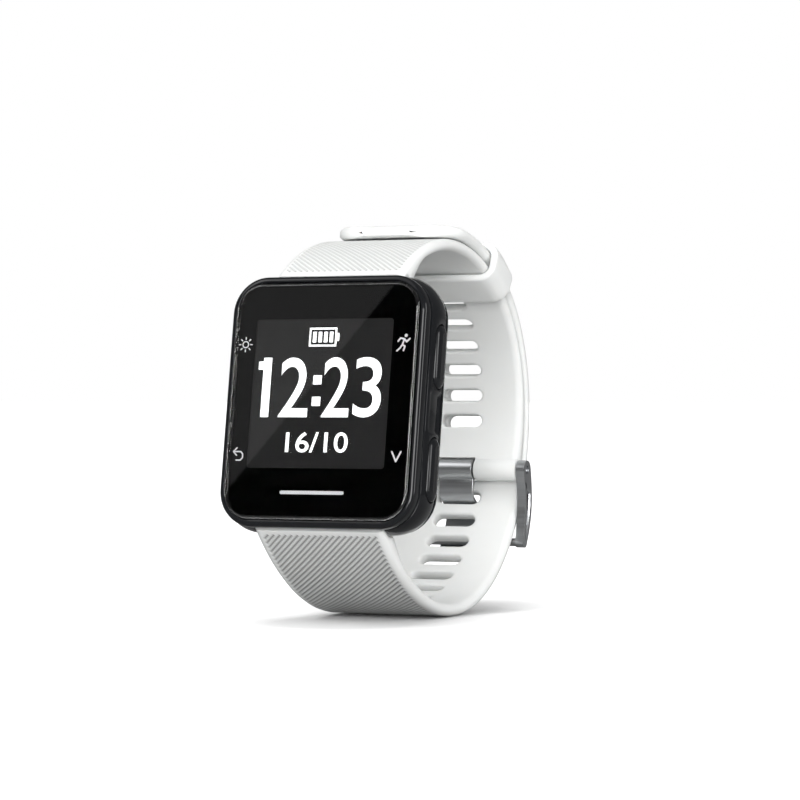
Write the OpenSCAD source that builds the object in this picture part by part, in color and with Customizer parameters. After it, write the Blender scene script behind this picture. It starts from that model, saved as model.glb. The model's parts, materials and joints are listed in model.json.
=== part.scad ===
// GPS running watch, buckled shut. Origin: the wrist's axis (X). The face looks to -Y, up is +Z.

/* [Case] */
// Width of the case
case_w = 34.8; // [34.6:0.1:35.2]
// Height of the case
case_h = 40.6; // [40.4:0.1:41]
// Corner radius of the case
case_corner = 6.3; // [6:0.1:6.6]
// Backward lean of the face, in degrees
lean = 9.5; // [9.3:0.1:9.7]
// Distance from the wrist's axis to the middle of the glass
face_reach = 34; // [33.9:0.05:34.1]
// Height of the middle of the glass over the wrist's axis
face_rise = 5; // [4.95:0.05:5.05]
// Width of the cover glass
glass_w = 31.3; // [31:0.1:31.4]
// Height of the cover glass
glass_h = 37.3; // [37:0.1:37.4]
// Corner radius of the cover glass
glass_corner = 4.2; // [4:0.1:4.6]
// Width and height of the lit picture
picture = 23.5; // [22:0.5:24]

/* [Buttons] */
// Length of a button along the side of the case
button_len = 10; // [9:0.5:10.5]
// Width of a button
button_w = 3.6; // [3.2:0.1:3.8]
// Travel of a button
button_travel = 0.4; // [0.2:0.05:0.4]
// Height of the upper buttons over the middle of the glass
button_up = 7.7; // [7.6:0.1:7.8]
// Height of the lower buttons under the middle of the glass
button_down = 10; // [9.9:0.1:10.1]

/* [Strap] */
// Width of the strap
strap_w = 22; // [20:0.5:22]
// Thickness of the long half
strap_t = 2; // [1.8:0.1:2]
// Thickness of the short half
short_t = 1.9; // [1.7:0.1:1.9]
// Air between the two layers
layer_gap = 0.3; // [0.3:0.05:0.4]
// Length of a hole across the strap
slot_len = 7.6; // [7.4:0.1:8]
// Width of a hole along the strap
slot_w = 2.5; // [2.5:0.05:2.6]
// Distance from hole to hole on the long half
slot_pitch = 4.75; // [4.5:0.05:4.8]
// Width of the keeper loop along the strap
keeper_w = 8.4; // [7:0.2:8.4]

/* [Buckle] */
// Radius of the buckle's bar
bar_r = 0.75; // [0.7:0.01:0.75]
// Width of the tongue
tongue_w = 6.2; // [5.5:0.1:6.2]
// Thickness of the tongue
tongue_t = 0.6; // [0.5:0.05:0.6]
// Thickness of a frame arm
arm_t = 1.5; // [1.2:0.1:1.6]

/* [Hidden] */
$fn = 48;

// Sides of the circles inside a hull
hull_fn = 32;
// Gap left where a piece is set into another
set_gap = 0.03;
// Radial play of a turning or sliding pin
play = 0.06;
// More than any wall, for cuts
through = 60;

// Depths, counted backwards from the front of the glass
glass_t = 1;
gasket_t = 0.2;
bezel_front = 0.35;
case_front = 2;
case_rear = 8.4;
rear_flat = 11.5;
dome_rear = 12.8;
sensor_rear = 13.3;
button_depth = 5.5;
board_front = 3.5;
board_rear = 4.3;
display_front = 1.35;
frame_front = 2.3;
frame_rear = 3;
chassis_rear = 7.7;

bezel_w = case_w - 1.4;
bezel_h = case_h - 0.9;
bezel_corner = case_corner - 0.5;
cavity_w = 29.2;
cavity_h = 29.8;
cavity_corner = 2;
chassis_w = 28;
chassis_h = 29.2;
chassis_wall = 1.2;
board_w = chassis_w - 2 * chassis_wall - 0.2;
board_h = chassis_h - 2 * chassis_wall - 0.2;

// Rear seal, screws, sensor window and charging contacts
gasket_out_w = cavity_w + 2.2;
gasket_out_h = cavity_h + 2.2;
gasket_wide = 0.6;
screw_x = 13;
screw_z = 16.95;
screw_r = 0.6;
screw_tip = 6.2;
screw_head_r = 1.05;
screw_head = 9.2;
window_r = 6.4;
dome_r = 10;
contact_z = -12.4;
contact_pitch = 2.6;
contact_r = 0.75;

// Screen, its ribbon, and the vibration motor
picture_rise = 1.1;
flex_w = 8;
flex_t = 0.15;
flex_z = -13.1;
motor_x = 7.6;
motor_d = 6.3;
motor_r = 1.7;
motor_top = 1.6;
motor_foot = -5.4;
shaft_r = 0.35;
shaft_end = -11.4;
weight_len = 4.4;

// Buttons
cap_rest = case_w / 2 + 0.5;
cap_inner = case_w / 2 - 0.75;
pocket_floor = cap_inner - button_travel - 0.05;
stem_r = 0.8;
groove_r = 0.55;
ring_groove = 0.5;
ring_bore = 1.1;
clip_t = 0.3;
cavity_wall_x = cavity_w / 2;
ring_x = cavity_wall_x + 0.95;
ring_section = 0.22;
clip_x = cavity_wall_x - clip_t - 0.06;
clip_r = 1.35;
stem_end = 12.95;
switch_x = [11.1, 12.5];
plunger_r = 0.6;

// Lugs and spring bars
lug_pocket_w = 22.4;
lug_pocket_v = 16.5;
lug_bar_v = 18.55;
lug_bar_d = 5.2;
knuckle_r = 1.85;
spring_bar_r = 0.9;
barrel_half = 9.5;
tip_shoulder = 10.8;
tip_r = 0.5;
tip_travel = 0.9;
tip_end = 12.3;
tip_tail = 5.4;
spring_turns = 8;
spring_wire = 0.1;
spring_coil = 0.42;

// The strap's path: the outer face of the long half, from the lower lug round to the tail and
// on to the upper lug, as arcs of [radius, turn]
PATH_START = [-35.1, -15.4, -48.5];
LONG = [[47, 18.5], [38, 30], [30.5, 40], [34.5, 50], [27.5, 50], [38, 44]];
LOOP = concat(LONG, [[38.3, 31]]);
root_run = 11;
long_root = 4.6;
short_root = 4.6;
buckle_root = 3.4;
buckle_run = 26;
strap_step = 1.6;
tail_corner = 8;

tongue_slot_s = 69.7;
slots_before = 6;
slots_after = 12;
short_slot_s = 84.1;
short_pitch = 5.15;
short_slots = 7;

// Buckle, placed by its run along the path
pin_s = 74.4;
buckle_knuckle = 1.95;
pin_in = strap_t + layer_gap + buckle_knuckle;
tongue_notch = tongue_w + 0.6;
tongue_barrel = 1.85;
// Middle line of the tongue as [run down from the bar, distance inside the path]
tongue_line = [
    [1.4, 4.3], [3, 3.9], [4.5, 3.4], [5.15, 2.6], [5.3, 1.4], [5.4, 0.2],
    [5.9, -0.9], [7.1, -1.6], [9.2, -2.1], [11.8, -2.2], [13.6, -1.9]
];
arm_gap = 0.25;
arm_depth = 3.2;
arm_bow = 1.1;
arm_taper = 0.7;
arm_steps = 12;
far_bar_s = 62.6;
far_bar_r = 0.7;
far_bar_out = far_bar_r + 0.35;

// Keeper
keeper_s = 116.8;
keeper_wall = 1.2;
keeper_play = 0.28;

function arc_len(a) = a[0] * a[1] * PI / 180;
function run(path, i = 0) = i == len(path) ? 0 : arc_len(path[i]) + run(path, i + 1);
function turned(p, r, turn) = [
    p[0] + r * (sin(p[2] + turn) - sin(p[2])),
    p[1] - r * (cos(p[2] + turn) - cos(p[2])),
    p[2] + turn
];
// [y, z, heading] after a run s along the path
function station(s, p = PATH_START, i = 0) =
    i == len(LOOP) - 1 || s <= arc_len(LOOP[i])
    ? turned(p, LOOP[i][0], s / LOOP[i][0] * 180 / PI)
    : station(s - arc_len(LOOP[i]), turned(p, LOOP[i][0], LOOP[i][1]), i + 1);
// The point a distance b inside the path at run s
function at(s, b) = let (p = station(s)) [p[0] - b * sin(p[2]), p[1] + b * cos(p[2])];
function steps(s0, s1) = let (n = ceil((s1 - s0) / strap_step)) [for (i = [0:n]) s0 + (s1 - s0) * i / n];
function backwards(list) = [for (i = [len(list) - 1:-1:0]) list[i]];
function unit(v) = v / norm(v);
function fade(x) = pow(max(0, 1 - x), 1.6);
function long_thick(s) = strap_t + (long_root - strap_t) * fade(s / root_run);
function short_thick(s) = short_t
    + (short_root - short_t) * fade((run(LOOP) - s) / root_run)
    + (buckle_root - short_t) * fade((s - pin_s) / buckle_run);

// A band of the path between two offsets, drawn across the strap's width
module band(s0, s1, outer, inner) {
    s = steps(s0, s1);
    polygon(concat([for (a = s) at(a, outer(a))], [for (a = backwards(s)) at(a, inner(a))]));
}

// A profile in the Y-Z plane drawn out along X, centred
module across(width) {
    translate([-width / 2, 0, 0]) rotate([90, 0, 90]) linear_extrude(width) children();
}

// The frame of the strap at run s: X across, Y along, Z towards the wrist
module on_strap(s, b = 0) {
    p = station(s);
    translate([0, at(s, b)[0], at(s, b)[1]]) rotate([p[2], 0, 0]) children();
}

module slot(s, deep) {
    on_strap(s) {
        translate([0, 0, deep / 2]) cube([slot_len - slot_w, slot_w, 3 * deep], center = true);
        for (x = [-1, 1]) translate([x * (slot_len - slot_w) / 2, 0, -deep])
            cylinder(h = 3 * deep, r = slot_w / 2);
    }
}

// The case's own frame: X across, Y the depth behind the glass, Z up the face
module on_case() {
    translate([0, -face_reach, face_rise]) rotate([-lean, 0, 0]) children();
}

module rounded(w, h, r, sides = $fn) {
    square([w - 2 * r, h], center = true);
    square([w, h - 2 * r], center = true);
    for (x = [-1, 1], z = [-1, 1]) translate([x * (w / 2 - r), z * (h / 2 - r)]) circle(r, $fn = sides);
}

module slab(w, h, r, front, rear, sides = $fn) {
    translate([0, rear, 0]) rotate([90, 0, 0]) linear_extrude(rear - front) rounded(w, h, r, sides);
}

// A round bar along the case's depth
module post(x, z, r, front, rear) {
    translate([x, rear, z]) rotate([90, 0, 0]) cylinder(h = rear - front, r = r);
}

// A block in the case: [left, right], [front, rear], [bottom, top]
module block(x, y, z) {
    translate([x[0], y[0], z[0]]) cube([x[1] - x[0], y[1] - y[0], z[1] - z[0]]);
}

// A round bar along X in the case, between two distances from the middle on the given side
module bar(side, r, inner, outer) {
    mirror([side < 0 ? 1 : 0, 0, 0]) translate([inner, 0, 0]) rotate([0, 90, 0])
        cylinder(h = outer - inner, r = r);
}

// ---- case ----

module front_bezel() {
    color("#0b0c0e") on_case() difference() {
        union() {
            slab(bezel_w, bezel_h, bezel_corner, bezel_front + 0.5, case_front);
            slab(bezel_w - 0.6, bezel_h - 0.6, bezel_corner - 0.3, bezel_front, bezel_front + 0.5);
        }
        slab(glass_w + 0.1, glass_h + 0.1, glass_corner + 0.05, -1, glass_t + gasket_t);
        slab(glass_w - 2.8, glass_h - 2.8, glass_corner - 1.4, 0, case_front + 1);
    }
}

module cover_glass() {
    color("#101418") on_case() slab(glass_w, glass_h, glass_corner, 0, glass_t);
}

module glass_gasket() {
    color("#1c1c1c") on_case() difference() {
        slab(glass_w - 0.1, glass_h - 0.1, glass_corner, glass_t, glass_t + gasket_t);
        slab(glass_w - 2.6, glass_h - 2.6, glass_corner - 1.3, 0, case_front);
    }
}

// Everything that goes through one side wall for a button
module button_cuts() {
    for (side = [-1, 1], z = [button_up, -button_down]) translate([0, button_depth, z]) {
        translate([side * (pocket_floor + 5), 0, 0]) stadium(button_len + 0.4, button_w + 0.4, 10);
        bar(side, ring_bore, cavity_wall_x + 0.45, pocket_floor + 1);
        bar(side, stem_r + play, cavity_wall_x - 1, pocket_floor + 1);
    }
}

// A pill lying along Z, its thickness along X
module stadium(length, width, thick) {
    straight = (length - width) / 2;
    cube([thick, width, 2 * straight], center = true);
    for (z = [-1, 1]) translate([-thick / 2, 0, z * straight]) rotate([0, 90, 0])
        cylinder(h = thick, r = width / 2);
}

module lug_cuts() {
    for (end = [-1, 1]) {
        z = end > 0 ? [lug_pocket_v, through] : [-through, -lug_pocket_v];
        block([-lug_pocket_w / 2, lug_pocket_w / 2], [case_front + 0.25, case_rear + 1], z);
        for (side = [-1, 1]) translate([0, lug_bar_d, end * lug_bar_v])
            bar(side, tip_r + play, lug_pocket_w / 2 - 1, tip_end + 0.2);
    }
}

module screw_places() {
    for (x = [-1, 1], z = [-1, 1]) translate([x * screw_x, 0, z * screw_z]) children();
}

module mid_case() {
    color("#0d0e10") on_case() difference() {
        union() {
            slab(case_w - 0.6, case_h - 0.6, case_corner - 0.3, case_front, case_front + 0.5);
            slab(case_w, case_h, case_corner, case_front + 0.5, case_rear - 0.8);
            slab(case_w - 0.5, case_h - 0.5, case_corner - 0.25, case_rear - 0.8, case_rear);
        }
        slab(cavity_w, cavity_h, cavity_corner, case_front - 1, case_rear + 1);
        back_groove(0.3);
        button_cuts();
        lug_cuts();
        screw_places() post(0, 0, screw_r + 0.05, screw_tip - 0.2, case_rear + 1);
    }
}

// The square channel for the rear seal, and the seal itself with a smaller clearance
module back_groove(clear) {
    difference() {
        slab(gasket_out_w + clear / 4, gasket_out_h + clear / 4, cavity_corner + 1.1,
             case_rear - 0.5, case_rear + clear);
        slab(gasket_out_w - 2 * gasket_wide - clear / 4, gasket_out_h - 2 * gasket_wide - clear / 4,
             cavity_corner + 0.5, 0, case_rear + 1);
    }
}

module back_gasket() {
    color("#3a3a3c") on_case() back_groove(0);
}

module back_cover() {
    color("#111214") on_case() difference() {
        union() {
            hull() {
                slab(case_w - 1, case_h - 1.2, case_corner - 0.4, case_rear, case_rear + 0.4, hull_fn);
                slab(case_w - 4, case_h - 4.5, case_corner - 0.8, 10, 10.1, hull_fn);
            }
            hull() {
                slab(case_w - 4, case_h - 4.5, case_corner - 0.8, 10, 10.1, hull_fn);
                slab(case_w - 8.6, case_h - 12, case_corner - 1.5, rear_flat - 0.1, rear_flat, hull_fn);
            }
            post(0, 0, dome_r, 10, dome_rear - 0.5);
            post(0, 0, dome_r - 0.5, 10, dome_rear);
        }
        slab(cavity_w - 1, cavity_h - 1, cavity_corner, case_rear - 1, 9.6);
        post(0, 0, 8.4, 9, 11.9);
        post(0, 0, window_r + set_gap, 11, dome_rear + 1);
        screw_places() {
            post(0, 0, screw_r + 0.1, 8, 11);
            post(0, 0, screw_head_r + 0.1, screw_head - 0.5, 13);
        }
        for (i = [-1.5:1:1.5]) post(i * contact_pitch, contact_z, contact_r + set_gap, 9, 13);
    }
}

module back_screws() {
    color("#55585c") on_case() screw_places() difference() {
        union() {
            post(0, 0, screw_r, screw_tip, screw_head);
            post(0, 0, screw_head_r, screw_head - 0.5, screw_head + 0.1);
        }
        post(0, 0, 0.5, screw_head - 0.4, screw_head + 1, $fn = 6);
    }
}

module sensor_window() {
    color("#20242a") on_case() {
        post(0, 0, window_r, 12.1, sensor_rear - 0.3);
        post(0, 0, window_r - 0.3, sensor_rear - 0.3, sensor_rear);
    }
}

module charge_contacts() {
    color("#d9b45a") on_case() for (i = [-1.5:1:1.5])
        post(i * contact_pitch, contact_z, contact_r, 9.7, rear_flat - 0.1);
}

// ---- inside the case ----

module display_panel() {
    color("#2a2a2a") on_case() translate([0, 0, picture_rise]) {
        slab(picture + 1.4, picture + 2, 0.6, display_front, frame_front);
    }
}

module display_frame() {
    color("#3c3f44") on_case() difference() {
        slab(chassis_w, chassis_h, 1.6, frame_front, frame_rear);
        translate([0, 0, picture_rise]) slab(picture - 4, picture - 4, 1, 0, frame_rear + 1);
        block([-flex_w / 2 - 0.2, flex_w / 2 + 0.2], [0, 5], [-chassis_h, flex_z + 2.3]);
    }
}

// A ribbon from the foot of the screen, round the frame's slot and back onto the board
module display_flex() {
    x = [-flex_w / 2, flex_w / 2];
    color("#b5651d") on_case() {
        block(x, [frame_front + 0.02, frame_front + 0.02 + flex_t], [flex_z - flex_t, flex_z + 2]);
        block(x, [frame_front + 0.02, board_front - 0.02], [flex_z - flex_t, flex_z]);
        block(x, [board_front - 0.02 - flex_t, board_front - 0.02], [flex_z - flex_t, flex_z + 2.4]);
    }
}

module inner_chassis() {
    color("#4a4d52") on_case() difference() {
        slab(chassis_w, chassis_h, 1.6, frame_rear, chassis_rear);
        slab(chassis_w - 2 * chassis_wall, chassis_h - 2 * chassis_wall, 1, 0, through);
        for (z = [button_up, -button_down])
            block([-through, through], [button_depth - 1.8, button_depth + 1.8], [z - 2.2, z + 2.2]);
    }
}

module main_board() {
    color("#1f5d3a") on_case() slab(board_w, board_h, 0.9, board_front, board_rear);
}

module shield_can() {
    color("#b9bcc0") on_case() difference() {
        block([-11, -1], [board_rear, 6], [3, 12.6]);
        block([-10.8, -1.2], [0, 5.8], [3.2, 12.4]);
    }
}

module gps_antenna() {
    color("#d8cfb8") on_case() {
        block([0.4, 10.4], [board_rear, 6.3], [2.9, 12.9]);
        block([1.2, 9.6], [6.3, 6.4], [3.7, 12.1]);
    }
}

module battery() {
    color("#c9ccd0") on_case() block([-10.6, 4.6], [board_rear + 0.1, 7.9], [-12.8, 1.4]);
}

module motor_can() {
    color("#a9acb0") on_case() translate([motor_x, motor_d, motor_foot]) difference() {
        cylinder(h = motor_top - motor_foot, r = motor_r);
        translate([0, 0, -1]) cylinder(h = 4.5, r = shaft_r + 0.05);
    }
}

module motor_shaft() {
    color("#8d9094") on_case() translate([motor_x, motor_d, shaft_end])
        cylinder(h = motor_foot + 3 - shaft_end, r = shaft_r);
}

// A half-round weight off the shaft's centre
module motor_weight() {
    color("#6f6a60") on_case() translate([motor_x, motor_d, shaft_end + 0.3]) difference() {
        union() {
            cylinder(h = weight_len, r = 0.75);
            intersection() {
                cylinder(h = weight_len, r = 1.6);
                translate([-2, 0, 0]) cube([4, 2, 5]);
            }
        }
        translate([0, 0, -1]) cylinder(h = 7, r = shaft_r + 0.01);
    }
}

module beeper() {
    color("#c8a24a") on_case() post(-6, 7.8, 4.4, 6.1, 6.8);
}

module sensor_board() {
    color("#1f5d3a") on_case() post(0, 0, 7.8, 9.7, 10.3);
}

module sensor_leds() {
    color("#9fe6a0") on_case() for (x = [-4.2, 4.2])
        block([x - 0.8, x + 0.8], [10.3, 11], [-0.8, 0.8]);
}

module photodiode() {
    color("#30343a") on_case() block([-1.4, 1.4], [10.3, 11], [-1.4, 1.4]);
}

// ---- buttons ----

// The place of a button: side is -1 on the left and 1 on the right
module button_place(z) {
    on_case() translate([0, button_depth, z]) children();
}

module button_cap(side, z) {
    color("#0c0d0f") button_place(z) difference() {
        union() {
            translate([side * (cap_inner + 0.35), 0, 0]) stadium(button_len, button_w, 0.7);
            translate([side * (cap_inner + 0.7 + (cap_rest - cap_inner - 0.7) / 2), 0, 0])
                stadium(button_len - 0.8, button_w - 0.8, cap_rest - cap_inner - 0.7);
            bar(side, stem_r, stem_end, cap_inner + 0.1);
        }
        difference() {
            bar(side, 2, ring_x, ring_x + ring_groove);
            bar(side, groove_r, ring_x - 1, ring_x + 1);
        }
        difference() {
            bar(side, 2, clip_x, clip_x + clip_t + 0.04);
            bar(side, groove_r, clip_x - 1, clip_x + 1);
        }
    }
}

module o_ring(side, z) {
    color("#2b2b2d") button_place(z) translate([side * (ring_x + ring_groove / 2), 0, 0]) rotate([0, 90, 0])
        rotate_extrude() translate([groove_r + set_gap + ring_section, 0]) circle(ring_section, $fn = 24);
}

module clip(side, z) {
    color("#9a9da1") button_place(z) difference() {
        bar(side, clip_r, clip_x + 0.02, clip_x + 0.02 + clip_t);
        bar(side, groove_r + set_gap, clip_x - 1, clip_x + 1);
        translate([0, 0, -1.4]) cube([2 * clip_x + 2, 0.9, 2.2], center = true);
    }
}

module switch_bodies() {
    color("#d6d8da") on_case() for (side = [-1, 1], z = [button_up, -button_down]) difference() {
        mirror([side < 0 ? 1 : 0, 0, 0])
            block(switch_x, [board_rear, button_depth + 1.1], [z - 1.7, z + 1.7]);
        translate([0, button_depth, z]) bar(side, plunger_r + play, switch_x[0] + 0.3, switch_x[1] + 1);
    }
}

module plunger(side, z) {
    color("#2d2f33") button_place(z)
        bar(side, plunger_r, switch_x[0] + 0.35 + button_travel, stem_end - set_gap);
}

module light_button() { button_cap(-1, button_up); }
module run_button() { button_cap(1, button_up); }
module back_button() { button_cap(-1, -button_down); }
module down_button() { button_cap(1, -button_down); }
module light_o_ring() { o_ring(-1, button_up); }
module run_o_ring() { o_ring(1, button_up); }
module back_o_ring() { o_ring(-1, -button_down); }
module down_o_ring() { o_ring(1, -button_down); }
module light_clip() { clip(-1, button_up); }
module run_clip() { clip(1, button_up); }
module back_clip() { clip(-1, -button_down); }
module down_clip() { clip(1, -button_down); }
module light_plunger() { plunger(-1, button_up); }
module run_plunger() { plunger(1, button_up); }
module back_plunger() { plunger(-1, -button_down); }
module down_plunger() { plunger(1, -button_down); }

// ---- strap ----

// The middle of a lug bar in the Y-Z plane: end is 1 at the top and -1 at the bottom
function lug_point(end) = let (d = lug_bar_d, v = end * lug_bar_v) [
    d * cos(lean) + v * sin(lean) - face_reach,
    -d * sin(lean) + v * cos(lean) + face_rise
];

module lug_knuckle(end) {
    translate(lug_point(end)) circle(knuckle_r);
}

module lug_bore(end) {
    p = lug_point(end);
    translate([-through / 2, p[0], p[1]]) rotate([0, 90, 0]) cylinder(h = through, r = spring_bar_r + play);
}

module lower_strap() {
    color("#f2f2f0") difference() {
        across(strap_w) {
            band(0, run(LONG), function (s) 0, function (s) long_thick(s));
            lug_knuckle(-1);
        }
        lug_bore(-1);
        for (k = [-slots_before:slots_after]) slot(tongue_slot_s + k * slot_pitch, strap_t);
        tail_cut();
    }
}

// Rounds the two corners of the tail
module tail_cut() {
    on_strap(run(LONG) - tail_corner) for (side = [-1, 1]) difference() {
        translate([side * strap_w / 2, tail_corner, 0])
            cube([2 * tail_corner, 2 * tail_corner, 12], center = true);
        translate([side * (strap_w / 2 - tail_corner), 0, -7]) cylinder(h = 14, r = tail_corner);
    }
}

module upper_strap() {
    pin = at(pin_s, pin_in);
    color("#f2f2f0") difference() {
        across(strap_w) {
            band(pin_s, run(LOOP), function (s) strap_t + layer_gap,
                 function (s) strap_t + layer_gap + short_thick(s));
            translate(pin) circle(buckle_knuckle);
            lug_knuckle(1);
        }
        lug_bore(1);
        for (k = [0:short_slots - 1]) slot(short_slot_s + k * short_pitch, 2 * buckle_root);
        translate([-through / 2, pin[0], pin[1]]) rotate([0, 90, 0]) cylinder(h = through, r = bar_r + play);
        on_strap(pin_s, pin_in) translate([0, -1, 0])
            cube([tongue_notch, 2 * (buckle_knuckle + 0.2) + 2, 3 * buckle_knuckle], center = true);
    }
}

// ---- spring bars, each on its own lug axis ----

module on_lug(end) {
    on_case() translate([0, lug_bar_d, end * lug_bar_v]) children();
}

module spring_bar(end) {
    color("#9a9da1") on_lug(end) difference() {
        for (side = [-1, 1]) bar(side, spring_bar_r, 0, barrel_half);
        for (side = [-1, 1]) bar(side, tip_r + play, -1, barrel_half + 1);
    }
}

module bar_tip(end, side) {
    color("#b4b7bb") on_lug(end) {
        bar(side, tip_r, tip_tail, tip_end);
        bar(side, spring_bar_r - 0.05, barrel_half + tip_travel + 0.05, tip_shoulder);
    }
}

module bar_spring(end) {
    length = 2 * (tip_tail - 0.1);
    color("#8a8d91") on_lug(end) translate([-length / 2, 0, 0]) rotate([0, 90, 0])
        linear_extrude(length, twist = 360 * spring_turns, slices = 10 * spring_turns, segments = 6)
            translate([spring_coil - spring_wire, 0]) circle(spring_wire, $fn = 6);
}

module upper_spring_bar() { spring_bar(1); }
module lower_spring_bar() { spring_bar(-1); }
module upper_bar_spring() { bar_spring(1); }
module lower_bar_spring() { bar_spring(-1); }
module upper_left_tip() { bar_tip(1, -1); }
module upper_right_tip() { bar_tip(1, 1); }
module lower_left_tip() { bar_tip(-1, -1); }
module lower_right_tip() { bar_tip(-1, 1); }

// ---- keeper and buckle ----

module keeper() {
    s0 = keeper_s - keeper_w / 2;
    s1 = keeper_s + keeper_w / 2;
    inside = strap_t + layer_gap + short_t + keeper_play;
    color("#f4f4f2") difference() {
        across(strap_w + 2 * (keeper_play + keeper_wall))
            band(s0, s1, function (s) -keeper_play - keeper_wall, function (s) inside + keeper_wall);
        across(strap_w + 2 * keeper_play)
            band(s0 - 1, s1 + 1, function (s) -keeper_play, function (s) inside);
    }
}

// Middle line of a frame arm, from the bar to the far end, and half its depth there
function arm_line(t) = let (pin = at(pin_s, pin_in), far = at(far_bar_s, -far_bar_out))
    [pin[0] + (far[0] - pin[0]) * t + arm_bow * sin(180 * t), pin[1] + (far[1] - pin[1]) * t];
function arm_half(t) = arm_depth / 2 - arm_taper * pow(t, 3);
function arm_edge(t, side) = let (d = unit(arm_line(t + 0.01) - arm_line(t - 0.01)))
    arm_line(t) + side * arm_half(t) * [-d[1], d[0]];

module arm_outline() {
    t = [for (i = [0:arm_steps]) i / arm_steps];
    polygon(concat([for (a = t) arm_edge(a, 1)], [for (a = backwards(t)) arm_edge(a, -1)]));
    for (a = [0, 1]) translate(arm_line(a)) circle(arm_half(a));
}

module buckle_frame() {
    pin = at(pin_s, pin_in);
    far = at(far_bar_s, -far_bar_out);
    inner = strap_w / 2 + arm_gap;
    color("#77787a") difference() {
        union() {
            for (side = [-1, 1]) translate([side * (inner + arm_t / 2), 0, 0]) across(arm_t) arm_outline();
            translate([-inner - arm_t / 2, far[0], far[1]]) rotate([0, 90, 0])
                cylinder(h = 2 * inner + arm_t, r = far_bar_r);
        }
        translate([-through / 2, pin[0], pin[1]]) rotate([0, 90, 0]) cylinder(h = through, r = bar_r + 0.02);
    }
}

module buckle_bar() {
    pin = at(pin_s, pin_in);
    half = strap_w / 2 + arm_gap + arm_t - 0.3;
    color("#8b8d90") translate([-half, pin[0], pin[1]]) rotate([0, 90, 0]) cylinder(h = 2 * half, r = bar_r);
}

function tongue_point(i, side) = let (
    n = len(tongue_line) - 1,
    p = tongue_line[i],
    q = unit(tongue_line[min(i + 1, n)] - tongue_line[max(i - 1, 0)])
) at(pin_s - p[0] + side * q[1] * tongue_t / 2, p[1] + side * q[0] * tongue_t / 2);

module buckle_tongue() {
    pin = at(pin_s, pin_in);
    last = len(tongue_line) - 1;
    color("#808285") difference() {
        union() {
            across(tongue_w) polygon(concat(
                [for (i = [0:last]) tongue_point(i, 1)],
                [for (i = [last:-1:0]) tongue_point(i, -1)]
            ));
            translate([-tongue_w / 2, pin[0], pin[1]]) rotate([0, 90, 0])
                cylinder(h = tongue_w, r = tongue_barrel);
        }
        translate([-through / 2, pin[0], pin[1]]) rotate([0, 90, 0]) cylinder(h = through, r = bar_r + play);
    }
}

front_bezel();
cover_glass();
glass_gasket();
mid_case();
back_gasket();
back_cover();
back_screws();
sensor_window();
charge_contacts();
display_panel();
display_frame();
display_flex();
inner_chassis();
main_board();
shield_can();
gps_antenna();
battery();
motor_can();
motor_shaft();
motor_weight();
beeper();
sensor_board();
sensor_leds();
photodiode();
switch_bodies();
light_button();
run_button();
back_button();
down_button();
light_o_ring();
run_o_ring();
back_o_ring();
down_o_ring();
light_clip();
run_clip();
back_clip();
down_clip();
light_plunger();
run_plunger();
back_plunger();
down_plunger();
upper_strap();
lower_strap();
upper_spring_bar();
lower_spring_bar();
upper_bar_spring();
lower_bar_spring();
upper_left_tip();
upper_right_tip();
lower_left_tip();
lower_right_tip();
keeper();
buckle_frame();
buckle_tongue();
buckle_bar();
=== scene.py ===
import functools
import json
import math

import bmesh
import bpy
from mathutils import Matrix, Vector

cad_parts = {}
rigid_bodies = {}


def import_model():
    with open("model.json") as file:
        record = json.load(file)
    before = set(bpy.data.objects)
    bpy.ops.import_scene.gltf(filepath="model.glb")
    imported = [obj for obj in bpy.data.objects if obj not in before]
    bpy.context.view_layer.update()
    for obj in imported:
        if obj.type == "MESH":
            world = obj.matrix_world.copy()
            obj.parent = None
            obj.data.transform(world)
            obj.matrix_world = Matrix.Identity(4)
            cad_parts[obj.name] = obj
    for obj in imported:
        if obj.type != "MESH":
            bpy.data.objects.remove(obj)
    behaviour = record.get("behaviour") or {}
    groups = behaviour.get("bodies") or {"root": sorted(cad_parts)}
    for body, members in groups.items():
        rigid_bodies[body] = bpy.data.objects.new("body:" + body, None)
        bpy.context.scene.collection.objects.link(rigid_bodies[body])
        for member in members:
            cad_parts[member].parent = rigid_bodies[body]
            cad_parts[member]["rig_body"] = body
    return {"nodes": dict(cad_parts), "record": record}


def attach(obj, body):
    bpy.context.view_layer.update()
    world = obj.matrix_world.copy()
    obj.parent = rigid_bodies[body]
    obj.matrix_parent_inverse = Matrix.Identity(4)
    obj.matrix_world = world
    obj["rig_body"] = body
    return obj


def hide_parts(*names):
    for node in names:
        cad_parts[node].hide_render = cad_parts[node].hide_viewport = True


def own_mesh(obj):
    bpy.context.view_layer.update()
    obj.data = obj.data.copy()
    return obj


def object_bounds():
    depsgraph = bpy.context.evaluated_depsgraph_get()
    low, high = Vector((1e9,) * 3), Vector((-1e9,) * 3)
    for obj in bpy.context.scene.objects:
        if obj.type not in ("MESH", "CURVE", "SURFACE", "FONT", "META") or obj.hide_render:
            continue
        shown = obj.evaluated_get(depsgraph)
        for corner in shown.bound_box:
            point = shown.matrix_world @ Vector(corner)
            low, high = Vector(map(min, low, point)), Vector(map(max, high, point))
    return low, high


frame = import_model()
CAD_BOX = [list(corner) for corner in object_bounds()]

bl_info = {
    "name": "Running watch",
    "version": (1, 0, 0),
    "blender": (4, 5, 0),
    "location": "View3D > Sidebar > Watch",
    "description": "Dresses the packed parts of a running watch with its finished surfaces",
    "category": "Object",
}

# Sizes are in millimetres in the case's own frame or along the strap, and pass through MM at the end
MM = 0.001
IN_MM = Matrix.Scale(MM, 4)
FULL_TURN = 2 * math.pi

SLOT_OF = {part["node"]: part["material_slot"] for part in frame["record"]["subparts"]}
MOUNT = {mount["name"]: mount for mount in frame["record"]["mounts"]}

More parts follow.
